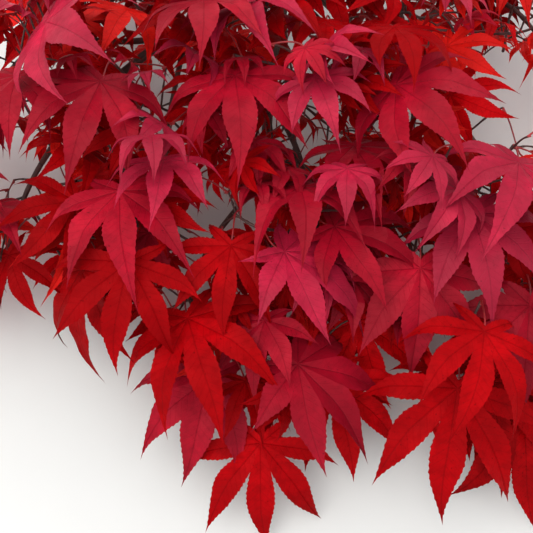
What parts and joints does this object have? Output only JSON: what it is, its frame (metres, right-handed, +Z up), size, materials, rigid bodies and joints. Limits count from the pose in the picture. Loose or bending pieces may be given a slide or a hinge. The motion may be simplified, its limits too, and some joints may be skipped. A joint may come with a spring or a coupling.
{
  "type": "japanese maple branch",
  "caption": "Cut leafy branch of a red-leaved Japanese maple: a curved bough with side boughs and short limbs that carry hanging masses of deeply lobed leaves.",
  "frame": {"origin": "under the middle of the outer box, at the level of the floor that the branch lies on", "axes": "+Z up from the floor; +Y from the leafy tips towards the cut end of the long bough; +X to the right of whoever looks along +Y"},
  "size_m": [0.5736, 0.5934, 0.2018],
  "materials": {
    "bark": "matte, finely ridged",
    "leaf_crimson": "satin leaf",
    "leaf_maroon": "satin leaf",
    "leaf_rose": "satin leaf",
    "leaf_scarlet": "satin leaf"
  },
  "bodies": {
    "root": {"long_bough": "bark", "left_bough": "bark", "right_bough": "bark", "low_left_limb": "bark", "middle_limb": "bark", "upper_limb": "bark", "crest_limb": "bark", "left_limb": "bark", "upper_left_limb": "bark", "outer_left_limb": "bark", "crest_left_limb": "bark", "right_limb": "bark", "low_right_limb": "bark", "outer_right_limb": "bark", "upper_right_limb": "bark", "side_right_limb": "bark", "crest_right_limb": "bark", "back_left_limb": "bark", "back_right_limb": "bark", "back_limb": "bark", "tip_foliage": "leaf_crimson", "low_left_foliage": "leaf_maroon", "middle_foliage": "leaf_rose", "upper_foliage": "leaf_scarlet", "crest_foliage": "leaf_crimson", "far_left_foliage": "leaf_maroon", "left_foliage": "leaf_rose", "upper_left_foliage": "leaf_scarlet", "outer_left_foliage": "leaf_crimson", "crest_left_foliage": "leaf_maroon", "far_right_foliage": "leaf_rose", "right_foliage": "leaf_scarlet", "low_right_foliage": "leaf_crimson", "outer_right_foliage": "leaf_maroon", "upper_right_foliage": "leaf_rose", "side_right_foliage": "leaf_scarlet", "crest_right_foliage": "leaf_crimson", "back_left_foliage": "leaf_maroon", "back_right_foliage": "leaf_rose", "back_foliage": "leaf_scarlet"}
  },
  "joints": []
}
